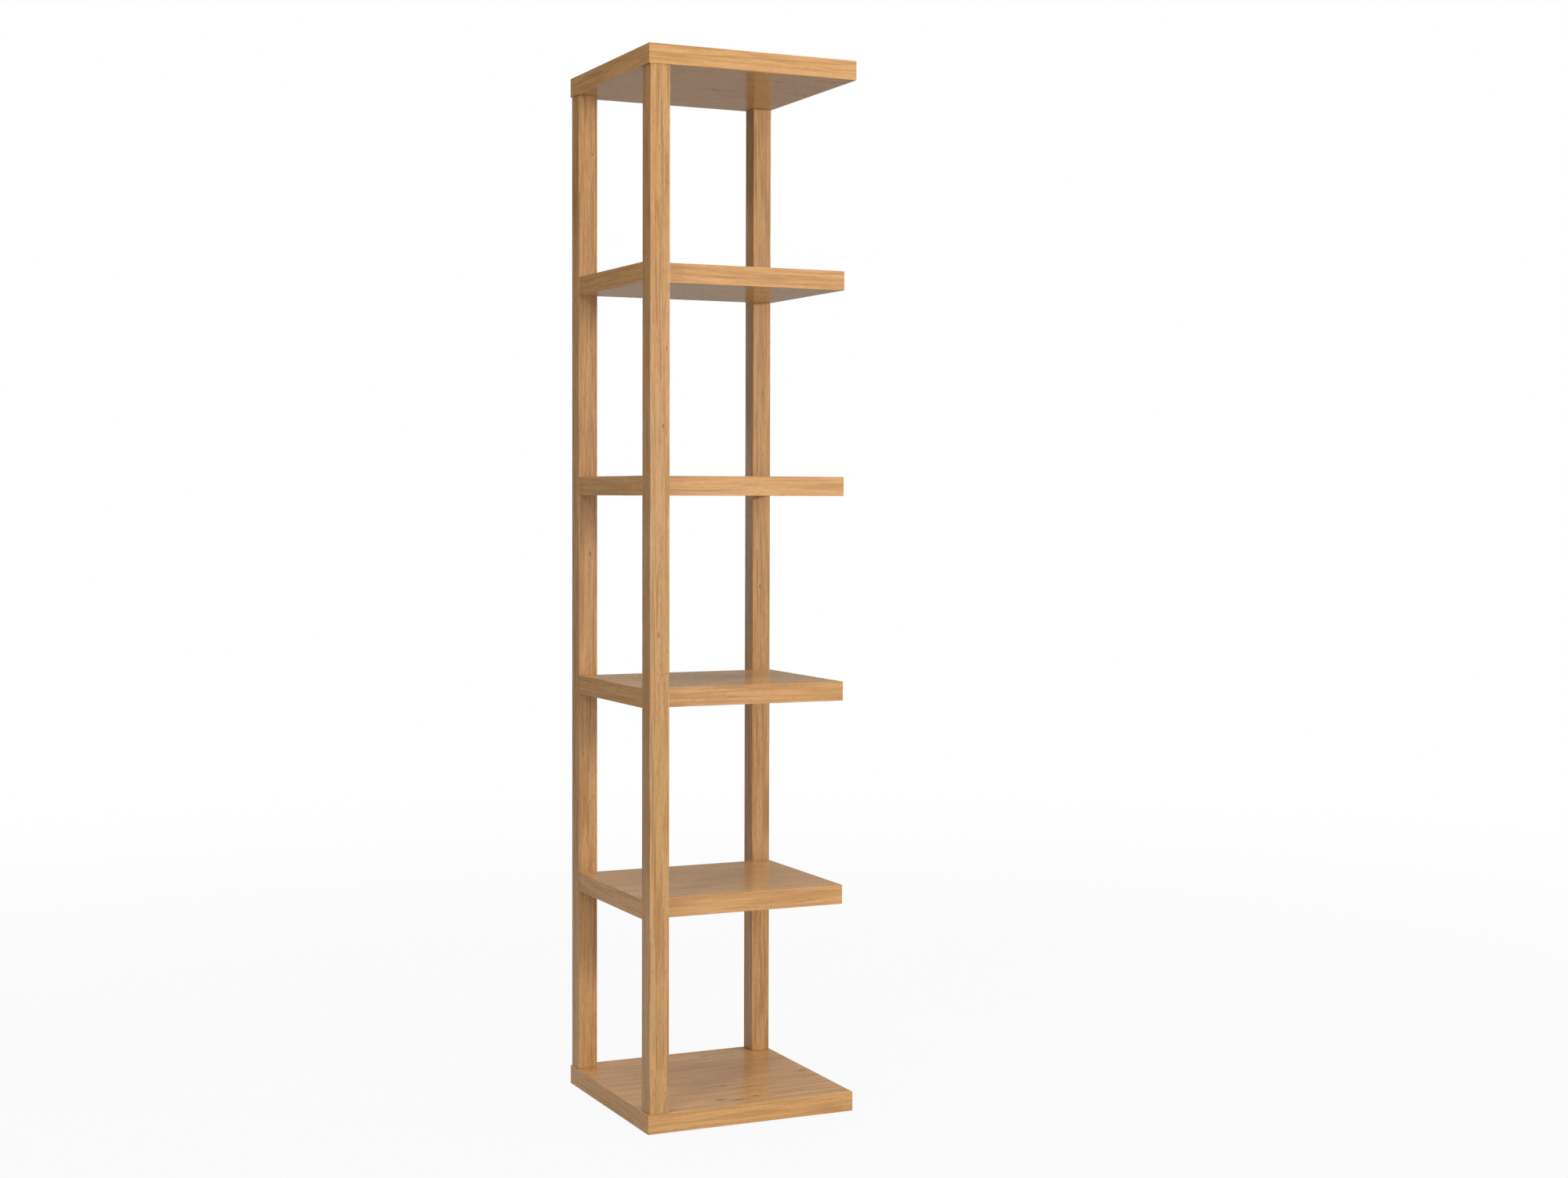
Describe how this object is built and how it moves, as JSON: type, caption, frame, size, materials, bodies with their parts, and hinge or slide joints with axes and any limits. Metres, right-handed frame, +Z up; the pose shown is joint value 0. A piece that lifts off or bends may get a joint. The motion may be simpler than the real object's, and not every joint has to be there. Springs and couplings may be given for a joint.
{
  "type": "open shelving tower",
  "caption": "Tall narrow open shelving unit in oak veneer: square base and top, evenly spaced shelves, square posts at every corner but the front right one.",
  "frame": {"origin": "on the floor, under the middle of the square footprint", "axes": "+X to the right along the front, +Y to the back, +Z up"},
  "size_m": [0.378, 0.378, 1.8],
  "materials": {
    "oak_board": "satin lacquered oak veneer, grain along the width, edge bands with long grain",
    "oak_post": "satin lacquered oak veneer, grain along the post",
    "beech": "raw turned beech",
    "plated_steel": "bright zinc plating",
    "cast_zinc": "matt zinc casting",
    "oak_plastic": "fine matt, moulded in the colour of the oak",
    "brown_plastic": "matt dark brown moulding"
  },
  "bodies": {
    "frame": {"base_board": "oak_board", "top_board": "oak_board", "glide_front_left": "brown_plastic", "glide_back_left": "brown_plastic", "glide_back_right": "brown_plastic", "glide_front_right": "brown_plastic", "post_front_left": "oak_post", "base_screw_front_left": "plated_steel", "top_screw_front_left": "plated_steel", "screw_cap_front_left": "oak_plastic", "post_back_left": "oak_post", "base_screw_back_left": "plated_steel", "top_screw_back_left": "plated_steel", "screw_cap_back_left": "oak_plastic", "post_back_right": "oak_post", "base_screw_back_right": "plated_steel", "top_screw_back_right": "plated_steel", "screw_cap_back_right": "oak_plastic", "shelf_1": "oak_board", "stud_1_front_left": "plated_steel", "dowel_1_front_left": "beech", "stud_1_back_left": "plated_steel", "dowel_1_back_left": "beech", "stud_1_back_right": "plated_steel", "dowel_1_back_right": "beech", "shelf_2": "oak_board", "stud_2_front_left": "plated_steel", "dowel_2_front_left": "beech", "stud_2_back_left": "plated_steel", "dowel_2_back_left": "beech", "stud_2_back_right": "plated_steel", "dowel_2_back_right": "beech", "shelf_3": "oak_board", "stud_3_front_left": "plated_steel", "dowel_3_front_left": "beech", "stud_3_back_left": "plated_steel", "dowel_3_back_left": "beech", "stud_3_back_right": "plated_steel", "dowel_3_back_right": "beech", "shelf_4": "oak_board", "stud_4_front_left": "plated_steel", "dowel_4_front_left": "beech", "stud_4_back_left": "plated_steel", "dowel_4_back_left": "beech", "stud_4_back_right": "plated_steel", "dowel_4_back_right": "beech"},
    "cam_1_front_left": {"cam_1_front_left": "cast_zinc"},
    "cam_1_back_left": {"cam_1_back_left": "cast_zinc"},
    "cam_1_back_right": {"cam_1_back_right": "cast_zinc"},
    "cam_2_front_left": {"cam_2_front_left": "cast_zinc"},
    "cam_2_back_left": {"cam_2_back_left": "cast_zinc"},
    "cam_2_back_right": {"cam_2_back_right": "cast_zinc"},
    "cam_3_front_left": {"cam_3_front_left": "cast_zinc"},
    "cam_3_back_left": {"cam_3_back_left": "cast_zinc"},
    "cam_3_back_right": {"cam_3_back_right": "cast_zinc"},
    "cam_4_front_left": {"cam_4_front_left": "cast_zinc"},
    "cam_4_back_left": {"cam_4_back_left": "cast_zinc"},
    "cam_4_back_right": {"cam_4_back_right": "cast_zinc"}
  },
  "joints": [
    {"name": "turn_cam_1_front_left", "type": "hinge", "parent": "frame", "child": "cam_1_front_left", "pos_m": [-0.161, -0.11915, 0.3569], "axis": [0, 0, -1], "range_deg": [0, 180]},
    {"name": "turn_cam_1_back_left", "type": "hinge", "parent": "frame", "child": "cam_1_back_left", "pos_m": [-0.161, 0.11915, 0.3569], "axis": [0, 0, -1], "range_deg": [0, 180]},
    {"name": "turn_cam_1_back_right", "type": "hinge", "parent": "frame", "child": "cam_1_back_right", "pos_m": [0.161, 0.11915, 0.3569], "axis": [0, 0, -1], "range_deg": [0, 180]},
    {"name": "turn_cam_2_front_left", "type": "hinge", "parent": "frame", "child": "cam_2_front_left", "pos_m": [-0.161, -0.11915, 0.7095], "axis": [0, 0, -1], "range_deg": [0, 180]},
    {"name": "turn_cam_2_back_left", "type": "hinge", "parent": "frame", "child": "cam_2_back_left", "pos_m": [-0.161, 0.11915, 0.7095], "axis": [0, 0, -1], "range_deg": [0, 180]},
    {"name": "turn_cam_2_back_right", "type": "hinge", "parent": "frame", "child": "cam_2_back_right", "pos_m": [0.161, 0.11915, 0.7095], "axis": [0, 0, -1], "range_deg": [0, 180]},
    {"name": "turn_cam_3_front_left", "type": "hinge", "parent": "frame", "child": "cam_3_front_left", "pos_m": [-0.161, -0.11915, 1.0621], "axis": [0, 0, -1], "range_deg": [0, 180]},
    {"name": "turn_cam_3_back_left", "type": "hinge", "parent": "frame", "child": "cam_3_back_left", "pos_m": [-0.161, 0.11915, 1.0621], "axis": [0, 0, -1], "range_deg": [0, 180]},
    {"name": "turn_cam_3_back_right", "type": "hinge", "parent": "frame", "child": "cam_3_back_right", "pos_m": [0.161, 0.11915, 1.0621], "axis": [0, 0, -1], "range_deg": [0, 180]},
    {"name": "turn_cam_4_front_left", "type": "hinge", "parent": "frame", "child": "cam_4_front_left", "pos_m": [-0.161, -0.11915, 1.4147], "axis": [0, 0, -1], "range_deg": [0, 180]},
    {"name": "turn_cam_4_back_left", "type": "hinge", "parent": "frame", "child": "cam_4_back_left", "pos_m": [-0.161, 0.11915, 1.4147], "axis": [0, 0, -1], "range_deg": [0, 180]},
    {"name": "turn_cam_4_back_right", "type": "hinge", "parent": "frame", "child": "cam_4_back_right", "pos_m": [0.161, 0.11915, 1.4147], "axis": [0, 0, -1], "range_deg": [0, 180]}
  ]
}
